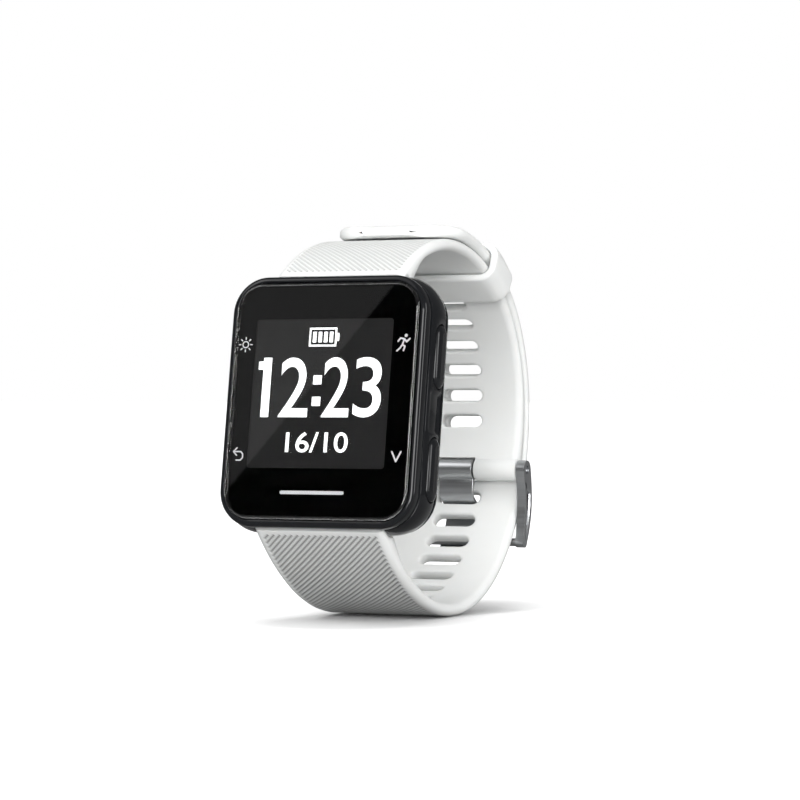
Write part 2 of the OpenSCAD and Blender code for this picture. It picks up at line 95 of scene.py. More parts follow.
# Depths behind the front of the glass
SENSOR_REAR = 13.3
GLASS_REAR = 0.9
MASK_FRONT = 0.93
MASK_REAR = 0.97
BEZEL_REAR = 2.0
PICTURE_FRONT = 1.29
PICTURE_REAR = 1.33
BUTTON_DEPTH = 5.5
LUG_BAR_DEPTH = 5.2
LUG_BAR_HEIGHT = 18.55

# Width, height and corner of the flat rounded rectangles of the face
BEZEL = (33.4, 39.7, 5.8)
GLASS = (31.3, 37.3, 4.2)
BORDER = (31.1, 37.1, 4.1)
WINDOW_CORNER = 0.5
WINDOW_PLACE = (-0.5, 1.2)
CORNER_STEPS = 14

# Half width, half height and corner of the case
CASE_SIDE, CASE_END, CASE_CORNER = 17.4, 20.3, 6.3

BUTTON_LONG, BUTTON_RADIUS = 10, 1.8
BUTTON_INNER, BUTTON_OUTER = 16.65, 17.86

# The strap's run: start (y, z, heading) and (radius, turn) arcs of the outer face of the long half,
# from the lower lug round to the upper one
STRAP_START = (-35.1, -15.4, -48.5)
STRAP_ARCS = ((47, 18.5), (38, 30), (30.5, 40), (34.5, 50), (27.5, 50), (38, 44), (38.3, 31))
TAIL_END = 139.65
STRAP_END = 160.37
PIN_RUN = 74.4
PIN_IN = 4.25
KEEPER_RUN = 116.8
ROOT_RUN = 11
BUCKLE_RUN = 26
RIB_CELLS = 3
STRAP_WIDTH = 22.0
THICK, SHORT_THICK, ROOT_THICK, END_THICK = 2.0, 1.9, 4.6, 3.4
SHORT_OUTSIDE = 2.32
TAIL_CORNER = 8
LONG_HOLES = [69.7 + 4.75 * k for k in range(-6, 13)]
SHORT_HOLES = [84.1 + 5.15 * k for k in range(7)]
NOTCH = (3.4, 76.6)
KNUCKLE, KNUCKLE_BORE = 1.83, 0.97
PIN_KNUCKLE, PIN_BORE = 1.93, 0.82
SLOT_HALF, SLOT_RADIUS = 2.55, 1.25

# Distance of the channel in a buckle's arm from the centre of its bar
CHANNEL_START = 2.8


# ---- frames and paths ----

def case_frame():
    """The case's own frame in millimetres: X across, Y the depth behind the glass, Z up the face."""
    face = MOUNT["sensor_face"]
    depth = Vector(face["axis"]).normalized()
    across = Vector((1, 0, 0))
    turn = Matrix((across, depth, across.cross(depth))).transposed().to_4x4()
    turn.translation = Vector(face["pos_m"]) - depth * SENSOR_REAR * MM
    return turn @ IN_MM


CASE = case_frame()


@functools.cache
def station(run):
    """Position and heading of the strap's outer face at a run along it."""
    y, z, heading = STRAP_START
    for index, (radius, turn) in enumerate(STRAP_ARCS):
        length = radius * math.radians(turn)
        if run <= length or index == len(STRAP_ARCS) - 1:
            turn = math.degrees(run / radius)
        a, b = math.radians(heading), math.radians(heading + turn)
        y += radius * (math.sin(b) - math.sin(a))
        z -= radius * (math.cos(b) - math.cos(a))
        heading += turn
        if run <= length:
            break
        run -= length
    return y, z, math.radians(heading)


def along_strap(x, run, inward):
    """The place, in metres, of a point given across, along and inward from the strap's outer face."""
    y, z, heading = station(round(run, 4))
    return Vector((x, y - inward * math.sin(heading), z + inward * math.cos(heading))) * MM


def strap_place(point):
    """The run and inward distance of a place in the strap's plane, in millimetres."""
    def gap(run):
        y, z, heading = station(run)
        return (point.y - y) * math.cos(heading) + (point.z - z) * math.sin(heading)
    low, high = (0, 20) if point.z < 0 else (STRAP_END - 20, STRAP_END + 6)
    for _ in range(40):
        middle = (low + high) / 2
        low, high = (middle, high) if gap(middle) > 0 else (low, middle)
    y, z, heading = station(low)
    return low, (point.z - z) * math.cos(heading) - (point.y - y) * math.sin(heading)


def fade(share):
    return max(0.0, 1 - share) ** 1.6


def smooth(low, high, value):
    t = min(1.0, max(0.0, (value - low) / (high - low)))
    return t * t * (3 - 2 * t)


# ---- mesh tools ----

def finish(bm, name, material, body, node=(), place=None, angle=35, recalc=True):
    """Turns a bmesh into a piece: in place, smooth, with its finish, riding on its body."""
    bmesh.ops.remove_doubles(bm, verts=bm.verts, dist=1e-4 if place else 1e-7)
    if recalc:
        bmesh.ops.recalc_face_normals(bm, faces=bm.faces)
    if place:
        bmesh.ops.transform(bm, matrix=place, verts=bm.verts)
    for face in bm.faces:
        face.smooth = True
    mesh = bpy.data.meshes.new(name)
    bm.to_mesh(mesh)
    bm.free()
    mesh.set_sharp_from_angle(angle=math.radians(angle))
    piece = placed(name, mesh)
    for each in (material if isinstance(material, (list, tuple)) else [material]):
        mesh.materials.append(bpy.data.materials[each])
    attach(piece, body)
    if node:
        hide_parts(*([node] if isinstance(node, str) else node))
    return piece


def placed(name, data):
    """A new object of the scene that holds the given mesh, curve, light or camera."""
    piece = bpy.data.objects.new(name, data)
    bpy.context.scene.collection.objects.link(piece)
    return piece


def plate(bm, width, height, corner, place, steps=10):
    """A flat rounded rectangle; returns its face, which looks along the local Z of its place."""
    made = bmesh.ops.create_grid(bm, x_segments=1, y_segments=1, size=0.5,
                                 matrix=place @ Matrix.Diagonal((width, height, 1, 1)))
    corners = made["verts"]
    face = corners[0].link_faces[0]
    if corner > 0:
        done = bmesh.ops.bevel(bm, geom=corners, offset=corner, offset_type="OFFSET", segments=steps,
                               profile=0.5, affect="VERTICES", material=-1)
        face = next((f for v in done["verts"] for f in v.link_faces), face)
    return face


def pill(bm, long, radius, place, segments=24):
    """A flat pill along the local Y of its place; returns its face."""
    straight = long / 2 - radius
    verts = bmesh.ops.create_circle(bm, cap_ends=True, segments=segments, radius=radius,
                                    matrix=Matrix.Rotation(math.pi / segments, 4, "Z"))["verts"]
    for vert in verts:
        vert.co.y += math.copysign(straight, vert.co.y)
    bmesh.ops.transform(bm, matrix=place, verts=verts)
    face = verts[0].link_faces[0]
    face.normal_update()
    return face


def facing_front(depth, x=0.0, z=0.0):
    """A place in the case for a plate that looks towards the glass."""
    return Matrix.Translation((x, depth, z)) @ Matrix.Rotation(math.pi / 2, 4, "X")


def facing_side(side, x, depth, z):
    """A place in the case for a plate that looks out of its left (-1) or right (1) side."""
    turn = Matrix.Rotation(side * math.pi / 2, 4, "Z") @ Matrix.Rotation(math.pi / 2, 4, "X")
    return Matrix.Translation((side * x, depth, z)) @ turn


def rise(bm, face, steps):
    """Builds a wall up from a face in steps of (inset, rise)."""
    for inset, height in steps:
        bmesh.ops.inset_region(bm, faces=[face], thickness=inset, depth=height,
                               use_even_offset=True, use_boundary=True)
    return face


def verts_of(made):
    """The vertices among what a bmesh operator returned."""
    return [part for part in made["geom"] if isinstance(part, bmesh.types.BMVert)]


def thickened(bm, by):
    """Copies all faces of a sheet, moves the copy and keeps the walls between the two."""
    grown = bmesh.ops.extrude_face_region(bm, geom=list(bm.faces), use_keep_orig=True)
    bmesh.ops.translate(bm, vec=by, verts=verts_of(grown))


def split(bm, place, way, **options):
    """Cuts the whole mesh along a plane."""
    bmesh.ops.bisect_plane(bm, geom=[*bm.verts, *bm.edges, *bm.faces], dist=1e-5,
                           plane_co=place, plane_no=way, **options)


def open_edges(bm):
    return [edge for edge in bm.edges if edge.is_boundary]


def close_back(bm):
    """Closes the open underside of what was raised from plates."""
    bmesh.ops.holes_fill(bm, edges=open_edges(bm), sides=0)


def turned_piece(bm, profile, centre, axis, across, steps=48):
    """Spins a profile of (along, radius) pairs round an axis."""
    axis, across = Vector(axis), Vector(across)
    verts = [bm.verts.new(Vector(centre) + axis * along + across * radius) for along, radius in profile]
    edges = [bm.edges.new(pair) for pair in zip(verts, verts[1:])]
    bmesh.ops.spin(bm, geom=verts + edges, cent=centre, axis=axis, angle=FULL_TURN, steps=steps,
                   use_merge=True)
    return verts


def spoke(share):
    """The direction at a share of a full turn."""
    return Vector((math.cos(share * FULL_TURN), math.sin(share * FULL_TURN)))


def rounded_bar(bm, start, end, radius, place, height, sides=8):
    """A flat bar with round ends between two points of a plate's plane, raised by height."""
    start, end = Vector(start).to_3d(), Vector(end).to_3d()
    run = end - start
    angle = math.atan2(run.y, run.x)
    spot = place @ Matrix.Translation((start + end) / 2) @ Matrix.Rotation(angle, 4, "Z")
    face = plate(bm, run.length + 2 * radius, 2 * radius, radius * 0.98, spot, steps=sides)
    rise(bm, face, [(0, height)])
    return face


def copied(node, place=CASE):
    """A merged copy of a CAD node's mesh in millimetres, for softening its edges."""
    bm = bmesh.new()
    bm.from_mesh(frame["nodes"][node].data)
    bmesh.ops.remove_doubles(bm, verts=bm.verts, dist=1e-6)
    bmesh.ops.transform(bm, matrix=place.inverted(), verts=bm.verts)
    bmesh.ops.dissolve_limit(bm, angle_limit=math.radians(0.6), verts=bm.verts, edges=bm.edges)
    return bm


def soften(piece, width, segments=3, angle=35):
    bevel = piece.modifiers.new("Softened edges", "BEVEL")
    bevel.width = width * MM
    bevel.segments = segments
    bevel.limit_method = "ANGLE"
    bevel.angle_limit = math.radians(angle)
    bevel.harden_normals = True
    return piece


def body_of(node):
    return frame["nodes"][node]["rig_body"]


def wear(node):
    """Gives a CAD node that keeps its shape the finish of its slot."""
    mesh = frame["nodes"][node].data
    mesh.materials.clear()
    mesh.materials.append(bpy.data.materials[SLOT_OF[node]])


# ---- finishes ----

def node_group(name, inputs, outputs):
    """An empty shader group with named float inputs and outputs of (name, kind)."""
    group = bpy.data.node_groups.new(name, "ShaderNodeTree")
    for label, default in inputs:
        socket = group.interface.new_socket(label, in_out="INPUT", socket_type="NodeSocketFloat")
        socket.default_value = default
    for label, kind in outputs:
        group.interface.new_socket(label, in_out="OUTPUT", socket_type=kind)
    return group, group.nodes.new("NodeGroupInput"), group.nodes.new("NodeGroupOutput")


def add(tree, kind, **values):
    """A node with its properties and, for names with capitals, its input sockets set."""
    node = tree.nodes.new(kind)
    for key, value in values.items():
        if key[0].isupper():
            node.inputs[key.replace("_", " ")].default_value = value
        else:
            setattr(node, key, value)
    return node


def ranged(tree, source, low, high):
    span = add(tree, "ShaderNodeMapRange")
    tree.links.new(source, span.inputs["Value"])
    tree.links.new(low, span.inputs["To Min"])
    tree.links.new(high, span.inputs["To Max"])
    return span.outputs["Result"]


def grain_group():
    """Moulded grain: fine pits with slow handling marks that change the gloss."""
    group, start, end = node_group(
        "Moulded grain", [("Grain Scale", 4000), ("Gloss Low", 0.3), ("Gloss High", 0.5)],
        [("Roughness", "NodeSocketFloat"), ("Height", "NodeSocketFloat"), ("Marks", "NodeSocketFloat")])
    place = add(group, "ShaderNodeTexCoord")
    pits = add(group, "ShaderNodeTexNoise", Detail=3.0)
    marks = add(group, "ShaderNodeTexNoise", Scale=110.0, Detail=4.0)
    both = add(group, "ShaderNodeMath", operation="MULTIPLY")
    link = group.links.new
    link(place.outputs["Object"], pits.inputs["Vector"])
    link(place.outputs["Object"], marks.inputs["Vector"])
    link(start.outputs["Grain Scale"], pits.inputs["Scale"])
    link(pits.outputs["Fac"], both.inputs[0])
    link(marks.outputs["Fac"], both.inputs[1])
    doubled = add(group, "ShaderNodeMath", operation="MULTIPLY")
    doubled.inputs[1].default_value = 3.2
    link(both.outputs[0], doubled.inputs[0])
    link(ranged(group, doubled.outputs[0], start.outputs["Gloss Low"], start.outputs["Gloss High"]),
         end.inputs["Roughness"])
    link(pits.outputs["Fac"], end.inputs["Height"])
    link(marks.outputs["Fac"], end.inputs["Marks"])
    return group


def brushed_group():
    """Brushed lines: long scratches across the part, as height, gloss and a light mask."""
    group, start, end = node_group(
        "Brushed lines", [("Line Scale", 3000), ("Gloss Low", 0.2), ("Gloss High", 0.4)],
        [("Roughness", "NodeSocketFloat"), ("Height", "NodeSocketFloat"), ("Lines", "NodeSocketFloat")])
    place = add(group, "ShaderNodeTexCoord")
    stretch = add(group, "ShaderNodeMapping")
    stretch.inputs["Scale"].default_value = (0.03, 1, 1)
    lines = add(group, "ShaderNodeTexNoise", Detail=4.0)
    link = group.links.new
    link(place.outputs["Object"], stretch.inputs["Vector"])
    link(stretch.outputs["Vector"], lines.inputs["Vector"])
    link(start.outputs["Line Scale"], lines.inputs["Scale"])
    link(ranged(group, lines.outputs["Fac"], start.outputs["Gloss Low"], start.outputs["Gloss High"]),
         end.inputs["Roughness"])
    link(lines.outputs["Fac"], end.inputs["Height"])
    link(lines.outputs["Fac"], end.inputs["Lines"])
    return group


def edge_wear_and_highlight_group():
    """Edge wear and painted highlight: a mask of corners and rims, broken up by noise."""
    group, start, end = node_group("Edge wear and highlight", [("Amount", 0.5)], [("Mask", "NodeSocketFloat")])
    shape = add(group, "ShaderNodeNewGeometry")
    place = add(group, "ShaderNodeTexCoord")
    broken = add(group, "ShaderNodeTexNoise", Scale=900.0, Detail=4.0)
    edges = add(group, "ShaderNodeMapRange", From_Min=0.53, From_Max=0.66)
    both = add(group, "ShaderNodeMath", operation="MULTIPLY")
    scaled = add(group, "ShaderNodeMath", operation="MULTIPLY", use_clamp=True)
    link = group.links.new
    link(place.outputs["Object"], broken.inputs["Vector"])
    link(shape.outputs["Pointiness"], edges.inputs["Value"])
    link(edges.outputs["Result"], both.inputs[0])
    link(broken.outputs["Fac"], both.inputs[1])
    link(both.outputs[0], scaled.inputs[0])
    link(start.outputs["Amount"], scaled.inputs[1])
    link(scaled.outputs[0], end.inputs["Mask"])
    return group


def blank(name):
    """A new material and its Principled shader."""
    material = bpy.data.materials.new(name)
    material.use_nodes = True
    return material.node_tree, material.node_tree.nodes["Principled BSDF"]


def use_group(tree, name, **values):
    node = add(tree, "ShaderNodeGroup", node_tree=bpy.data.node_groups[name])
    for key, value in values.items():
        node.inputs[key.replace("_", " ")].default_value = value
    return node


def bumped(tree, shader, height, strength, distance):
    bump = add(tree, "ShaderNodeBump", Strength=strength, Distance=distance * MM)
    tree.links.new(height, bump.inputs["Height"])
    tree.links.new(bump.outputs["Normal"], shader.inputs["Normal"])


def mixed(tree, mask, first, second):
    """A colour between two by a mask; each is three numbers or the output of another node."""
    mix = add(tree, "ShaderNodeMix", data_type="RGBA")
    tree.links.new(mask, mix.inputs["Factor"])
    ends = [socket for socket in mix.inputs if socket.type == "RGBA"]
    for socket, value in zip(ends, (first, second)):
        if isinstance(value, bpy.types.NodeSocket):
            tree.links.new(value, socket)
        else:
            socket.default_value = (*value, 1)
    return next(socket for socket in mix.outputs if socket.type == "RGBA")


def tinted(tree, shader, mask, dark, light):
    """Base colour between two tones by a mask."""
    tone = mixed(tree, mask, dark, light)
    tree.links.new(tone, shader.inputs["Base Color"])
    return tone


def moulded(name, dark, light, gloss, grain=4000.0, bump=0.15, distance=0.02, wear_and_highlight_by=0.0, **shader_values):
    """A moulded plastic, rubber or ceramic."""
    tree, shader = blank(name)
    for key, value in shader_values.items():
        shader.inputs[key.replace("_", " ")].default_value = value
    skin = use_group(tree, "Moulded grain", Grain_Scale=grain, Gloss_Low=gloss[0], Gloss_High=gloss[1])
    tone = tinted(tree, shader, skin.outputs["Marks"], dark, light)
    tree.links.new(skin.outputs["Roughness"], shader.inputs["Roughness"])
    bumped(tree, shader, skin.outputs["Height"], bump, distance)
    # Edge wear and painted highlight: rims and corners get a base colour about three times lighter.
    if wear_and_highlight_by:
        rim = use_group(tree, "Edge wear and highlight", Amount=wear_and_highlight_by)
        bright = [min(1, c * 3 + 0.04) for c in light]
        worn_and_highlit = mixed(tree, rim.outputs["Mask"], tone, bright)
        tree.links.new(worn_and_highlit, shader.inputs["Base Color"])


def metal(name, dark, light, gloss, lines=3000.0, bump=0.2):
    """A brushed or plated metal."""
    tree, shader = blank(name)
    shader.inputs["Metallic"].default_value = 1.0
    skin = use_group(tree, "Brushed lines", Line_Scale=lines, Gloss_Low=gloss[0], Gloss_High=gloss[1])
    tinted(tree, shader, skin.outputs["Lines"], dark, light)
    tree.links.new(skin.outputs["Roughness"], shader.inputs["Roughness"])
    bumped(tree, shader, skin.outputs["Height"], bump, 0.01)


def strap_silicone(colour):
    """White silicone: soft light under the skin, fine grain, and painted shade that greys the grooves between
    the ribs.
    """
    tree, shader = blank("white_silicone")
    shader.inputs["Subsurface Weight"].default_value = 0.12
    shader.inputs["Subsurface Radius"].default_value = (1.0, 0.9, 0.8)
    shader.inputs["Subsurface Scale"].default_value = 0.0008
    shader.inputs["Specular IOR Level"].default_value = 0.35
    skin = use_group(tree, "Moulded grain", Grain_Scale=6000.0, Gloss_Low=0.42, Gloss_High=0.6)
    groove = add(tree, "ShaderNodeAttribute", attribute_name="groove")
    shade = add(tree, "ShaderNodeMapRange", To_Max=1.0)
    groove_shade = add(tree, "ShaderNodeMath", operation="MULTIPLY_ADD", use_clamp=True)
    groove_shade.inputs[1].default_value = 0.12
    link = tree.links.new
    link(groove.outputs["Fac"], shade.inputs["Value"])
    link(skin.outputs["Marks"], groove_shade.inputs[0])
    link(shade.outputs["Result"], groove_shade.inputs[2])
    # Painted shade: the base colour darkens to about a third in the marked grooves, and a little at random
    # with the handling marks.
    tinted(tree, shader, groove_shade.outputs[0], colour, tuple(c * 0.32 for c in colour))
    link(skin.outputs["Roughness"], shader.inputs["Roughness"])
    bumped(tree, shader, skin.outputs["Height"], 0.12, 0.02)


def clear_glass(name, tint, gloss=0.0):
    shader = blank(name)[1]
    shader.inputs["Base Color"].default_value = (*tint, 1)
    shader.inputs["Transmission Weight"].default_value = 1.0
    shader.inputs["IOR"].default_value = 1.5
    shader.inputs["Roughness"].default_value = gloss


def glowing_surface(name, dark, light, strength, scale):
    """A reflective display surface that glows in its own tone: painted light in place of the light that would
    reach it through the glass.
    """
    tree, shader = blank(name)
    shader.inputs["Roughness"].default_value = 0.9
    shader.inputs["Specular IOR Level"].default_value = 0.0
    shader.inputs["Emission Strength"].default_value = strength
    place = add(tree, "ShaderNodeTexCoord")
    dots = add(tree, "ShaderNodeTexVoronoi", Scale=scale, distance="CHEBYCHEV", Randomness=0.0)
    tree.links.new(place.outputs["Object"], dots.inputs["Vector"])
    tone = tinted(tree, shader, dots.outputs["Distance"], dark, light)
    tree.links.new(tone, shader.inputs["Emission Color"])


def circuit_board():
    """Green solder mask with copper tracks under it."""
    tree, shader = blank("board")
    place = add(tree, "ShaderNodeTexCoord")
    tracks = add(tree, "ShaderNodeTexBrick", Scale=400.0, Mortar_Size=0.03)
    tracks.inputs["Color1"].default_value = (0.01, 0.11, 0.05, 1)
    tracks.inputs["Color2"].default_value = (0.012, 0.14, 0.06, 1)
    tracks.inputs["Mortar"].default_value = (0.05, 0.25, 0.09, 1)
    tree.links.new(place.outputs["Object"], tracks.inputs["Vector"])
    tree.links.new(tracks.outputs["Color"], shader.inputs["Base Color"])
    skin = use_group(tree, "Moulded grain", Grain_Scale=3000.0, Gloss_Low=0.2, Gloss_High=0.35)
    tree.links.new(skin.outputs["Roughness"], shader.inputs["Roughness"])
    bumped(tree, shader, tracks.outputs["Fac"], 0.3, 0.03)


# ---- settings ----

def colour(name, description, default):
    return bpy.props.FloatVectorProperty(name=name, description=description, subtype="COLOR", size=3,
                                         min=0, max=1, default=default)


def length(name, description, default):
    return bpy.props.FloatProperty(name=name, description=description, unit="LENGTH", subtype="DISTANCE",
                                   default=default * MM)


def power(name, description, default):
    return bpy.props.FloatProperty(name=name, description=description, subtype="POWER", default=default)


class WatchColours(bpy.types.PropertyGroup):
    """Colours that an owner would choose."""
    strap: colour("Strap", "Silicone of both halves and the keeper", (0.83, 0.84, 0.83))
    case: colour("Case", "Moulded case, bezel and buttons", (0.006, 0.0065, 0.0075))
    steel: colour("Buckle", "Brushed steel of the buckle", (0.42, 0.43, 0.44))
    digits: colour("Digits", "Lit marks of the picture", (0.93, 0.94, 0.94))
    signs: colour("Signs", "Printed signs beside the buttons", (0.5, 0.51, 0.52))


class WatchSizes(bpy.types.PropertyGroup):
    """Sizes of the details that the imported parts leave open."""
    rib_pitch: length("Rib pitch", "Distance from rib to rib across the strap", 1.03125)
    rib_depth: length("Rib depth", "Depth of the grooves between the ribs", 0.26)
    strap_edge: length("Strap edge", "Width of the strap's rounded edge", 1.05)
    slot_rim: length("Slot rim", "Width of the soft rim round a hole", 0.45)
    edge: length("Edge", "Width of the softened edges of hard parts", 0.14)
    digit_height: length("Digit height", "Height of the digits of the time", 9.45)
    picture: length("Picture", "Width and height of the picture", 23.6)


class WatchLights(bpy.types.PropertyGroup):
    """Lights of the stage."""
    key: power("Key", "Power of the large light", 1.7)
    side: power("Side", "Power of the side light", 2.1)
    front: power("Front", "Power of the front light", 7.5)
    low: power("Low", "Power of the small low light", 0.3)
    sky: bpy.props.FloatProperty(name="Sky", description="Light from all round", default=0.5)
    sun: bpy.props.FloatProperty(name="Overhead", description="Even light from overhead", default=0.5)


def sizes():
    return bpy.context.scene.watch_sizes


def colours():
    return bpy.context.scene.watch_colours


def mm(value):
    return value / MM


# ---- operators ----

class WATCH_OT_finishes(bpy.types.Operator):
    """Make the finish of every material slot"""
    bl_idname = "watch.finishes"
    bl_label = "Finishes"

    def execute(self, context):
        for plain in list(bpy.data.materials):
            bpy.data.materials.remove(plain)
        grain_group()
        brushed_group()
        edge_wear_and_highlight_group()
        black = tuple(colours().case)
        grey = tuple(c * 1.6 for c in black)
        steel = tuple(colours().steel)
        # Both black plastics carry the edge wear and painted highlight on their rims.
        moulded("gloss_black", black, grey, (0.08, 0.1), 2500.0, 0.01, wear_and_highlight_by=0.02, Specular_IOR_Level=0.3)
        moulded("satin_black", black, grey, (0.12, 0.2), 5000.0, 0.06, wear_and_highlight_by=0.06, Specular_IOR_Level=0.3)
        moulded("inner_plastic", (0.05, 0.052, 0.055), (0.08, 0.082, 0.085), (0.4, 0.55))
        moulded("patch_ceramic", (0.62, 0.56, 0.42), (0.7, 0.64, 0.5), (0.5, 0.65), 7000.0)
        moulded("seal", (0.008, 0.008, 0.009), (0.014, 0.014, 0.015), (0.6, 0.75), 6000.0)
        moulded("border_ink", (0.0015, 0.0016, 0.0018), (0.0022, 0.0023, 0.0026), (0.8, 0.9),
                Specular_IOR_Level=0.0)
        moulded("ribbon", (0.42, 0.16, 0.03), (0.5, 0.2, 0.04), (0.3, 0.4), 900.0)
        moulded("diode", (0.5, 0.62, 0.4), (0.6, 0.72, 0.5), (0.2, 0.3), 2000.0)
        metal("tin_plate", (0.5, 0.5, 0.51), (0.62, 0.62, 0.63), (0.3, 0.45), 1500.0)
        metal("steel", tuple(c * 1.1 for c in steel), tuple(c * 1.3 for c in steel), (0.25, 0.4))
        metal("buckle_steel", tuple(c * 0.9 for c in steel), tuple(c * 1.25 for c in steel), (0.24, 0.42),
              4200.0, 0.3)
        metal("gold", (0.72, 0.5, 0.2), (0.85, 0.62, 0.28), (0.18, 0.3), 2500.0, 0.1)
        metal("foil", (0.55, 0.56, 0.58), (0.68, 0.69, 0.7), (0.25, 0.5), 700.0, 0.4)
        metal("tungsten", (0.2, 0.19, 0.18), (0.28, 0.27, 0.25), (0.4, 0.55), 1200.0)
        strap_silicone(tuple(colours().strap))
        clear_glass("cover_lens", (1, 1, 1))
        clear_glass("sensor_lens", (0.35, 0.36, 0.38), 0.02)
        # The screen, the digits and the printed signs glow: painted light in place of the light that would
        # reach them through the glass.
        glowing_surface("screen", (0.0125, 0.0125, 0.0125), (0.015, 0.015, 0.015), 1.0, 7000.0)
        digits = tuple(colours().digits)
        glowing_surface("picture_marks", tuple(c * 0.95 for c in digits), digits, 1.0, 7000.0)
        signs = tuple(colours().signs)
        glowing_surface("printed_signs", tuple(c * 0.9 for c in signs), signs, 0.75, 3000.0)
        circuit_board()
        return {"FINISHED"}


class WATCH_OT_inside(bpy.types.Operator):
    """Give every part that keeps its CAD shape the finish of its slot"""
    bl_idname = "watch.inside"
    bl_label = "Parts inside the case"

    def execute(self, context):
        for node in frame["nodes"]:
            wear(node)
        return {"FINISHED"}


class WATCH_OT_springs(bpy.types.Operator):
    """Make the coil spring of each bar in two halves, each a piece with a mesh of its own"""
    bl_idname = "watch.springs"
    bl_label = "Coil springs"

    def execute(self, context):
        for end in ("upper", "lower"):
            node = f"{end}_bar_spring"
            for side, name in ((-1, "left"), (1, "right")):
                bm = copied(node, IN_MM)
                split(bm, (0, 0, 0), (side, 0, 0), clear_inner=True)
                close_back(bm)
                coil = finish(bm, f"{end}_{name}_coil", SLOT_OF[node], "watch", node, IN_MM)
                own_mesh(coil)
        return {"FINISHED"}


class WATCH_OT_bezel(bpy.types.Operator):
    """Make the glossy ring round the glass, with its ledge, rim and rolled outer edge"""
    bl_idname = "watch.bezel"
    bl_label = "Front bezel"

    def execute(self, context):
        bm = bmesh.new()
        face = plate(bm, *BEZEL, facing_front(BEZEL_REAR), steps=CORNER_STEPS)
        rise(bm, face, [
            (0, 0.02), (0, 1.0), (0.05, 0.18), (0.12, 0.16), (0.17, 0.11), (0.14, 0.08), (0.06, 0.02),
            (0.18, 0.03), (0.05, 0.005), (0.09, -0.005), (0.05, -0.05), (0.02, -0.06),
            (0.02, -0.64), (0.03, -0.02), (1.35, 0), (0.03, -0.03), (0, -0.75), (0, -0.02),
        ])
        bmesh.ops.delete(bm, geom=[face], context="FACES_ONLY")
        bmesh.ops.bridge_loops(bm, edges=open_edges(bm))
        finish(bm, "front_bezel_ring", "gloss_black", "watch", "front_bezel", CASE, 50)
        return {"FINISHED"}


class WATCH_OT_glass(bpy.types.Operator):
    """Make the cover glass, the black border printed behind it, and its signs"""
    bl_idname = "watch.glass"
    bl_label = "Glass and printed border"

    def execute(self, context):
        bm = bmesh.new()
        face = plate(bm, *GLASS, facing_front(GLASS_REAR), steps=CORNER_STEPS)
        rise(bm, face, [(0, 0.03), (0, 0.55), (0.05, 0.11), (0.1, 0.1), (0.12, 0.07), (0.14, 0.04),
                        (0.1, 0), (0.2, 0)])
        close_back(bm)
        finish(bm, "cover_glass_lens", "cover_lens", "watch", "cover_glass", CASE, 50)
        self.border()
        self.signs()
        return {"FINISHED"}

    def border(self):
        side = mm(sizes().picture)
        bm = bmesh.new()
        outer = plate(bm, *BORDER, facing_front(MASK_FRONT), steps=CORNER_STEPS)
        window = facing_front(MASK_FRONT, *WINDOW_PLACE)
        inner = plate(bm, side, side, WINDOW_CORNER, window, steps=CORNER_STEPS)
        bmesh.ops.delete(bm, geom=[outer, inner], context="FACES_ONLY")
        bmesh.ops.bridge_loops(bm, edges=list(bm.edges))
        thickened(bm, (0, MASK_REAR - MASK_FRONT, 0))
        finish(bm, "printed_border", "border_ink", "watch", (), CASE)

    def signs(self):
        bm = bmesh.new()
        line = 0.13

        def stroke(points, at, width=line):
            for a, b in zip(points, points[1:]):
                rounded_bar(bm, a, b, width, facing_front(MASK_FRONT - 0.005, *at), 0.02)

        def dot(centre, radius, at):
            face = plate(bm, 2 * radius, 2 * radius, radius * 0.98,
                         facing_front(MASK_FRONT - 0.005, at[0] + centre[0], at[1] + centre[1]), 8)
            rise(bm, face, [(0, 0.02)])

        light, runner, back, down = (-14.0, 9.0), (13.1, 9.0), (-13.9, -8.55), (13.2, -8.65)
        stroke([spoke(turn / 16) * 0.5 for turn in range(17)], light, 0.09)
        for turn in range(8):
            stroke([spoke(turn / 8) * 0.85, spoke(turn / 8) * 1.15], light, 0.09)
        dot((0.45, 1.25), 0.26, runner)
        stroke([(-0.85, 0.35), (-0.45, 0.85), (0.2, 0.7), (-0.1, -0.2), (0.35, -0.45), (0.15, -1.1)], runner)
        stroke([(0.2, 0.7), (0.6, 0.25), (1.1, 0.75)], runner)
        stroke([(-0.1, -0.2), (-0.5, -0.75), (-0.95, -1.15)], runner)
        stroke([(-0.25, 1.1), (-0.85, 0.5), (-0.25, -0.1)], back, 0.1)
        stroke([(-0.85, 0.5), (0.45, 0.5), (0.8, 0.1), (0.8, -0.45), (0.45, -0.85), (-0.3, -0.85)], back, 0.1)
        stroke([(-0.75, 0.75), (0, -0.75), (0.75, 0.75)], down)
        stroke([(-5.9, 0), (4.5, 0)], (0, -14.4), 0.28)
        close_back(bm)
        finish(bm, "printed_marks", "printed_signs", "watch", (), CASE)


def glyph(bm, text, box, weight):
    """Fills a box (left, right, bottom, top) of the picture with one sign of the plain built-in face."""
    curve = bpy.data.curves.new("sign", "FONT")
    curve.body = text
    curve.offset = weight
    curve.extrude = 0.01
    holder = placed("sign", curve)
    bpy.context.view_layer.update()
    mesh = bpy.data.meshes.new_from_object(holder.evaluated_get(bpy.context.evaluated_depsgraph_get()))
    bpy.data.objects.remove(holder)
    xs, ys = [v.co.x for v in mesh.vertices], [v.co.y for v in mesh.vertices]
    left, right, bottom, top = box
    wide, high = (right - left) / (max(xs) - min(xs)), (top - bottom) / (max(ys) - min(ys))
    corner = Matrix.Translation((-min(xs), -min(ys), 0))
    mesh.transform(Matrix.Translation((left, bottom, 0)) @ Matrix.Diagonal((wide, high, 1, 1)) @ corner)
    mesh.transform(facing_front((PICTURE_FRONT + PICTURE_REAR) / 2))
    bm.from_mesh(mesh)
    bpy.data.meshes.remove(mesh)


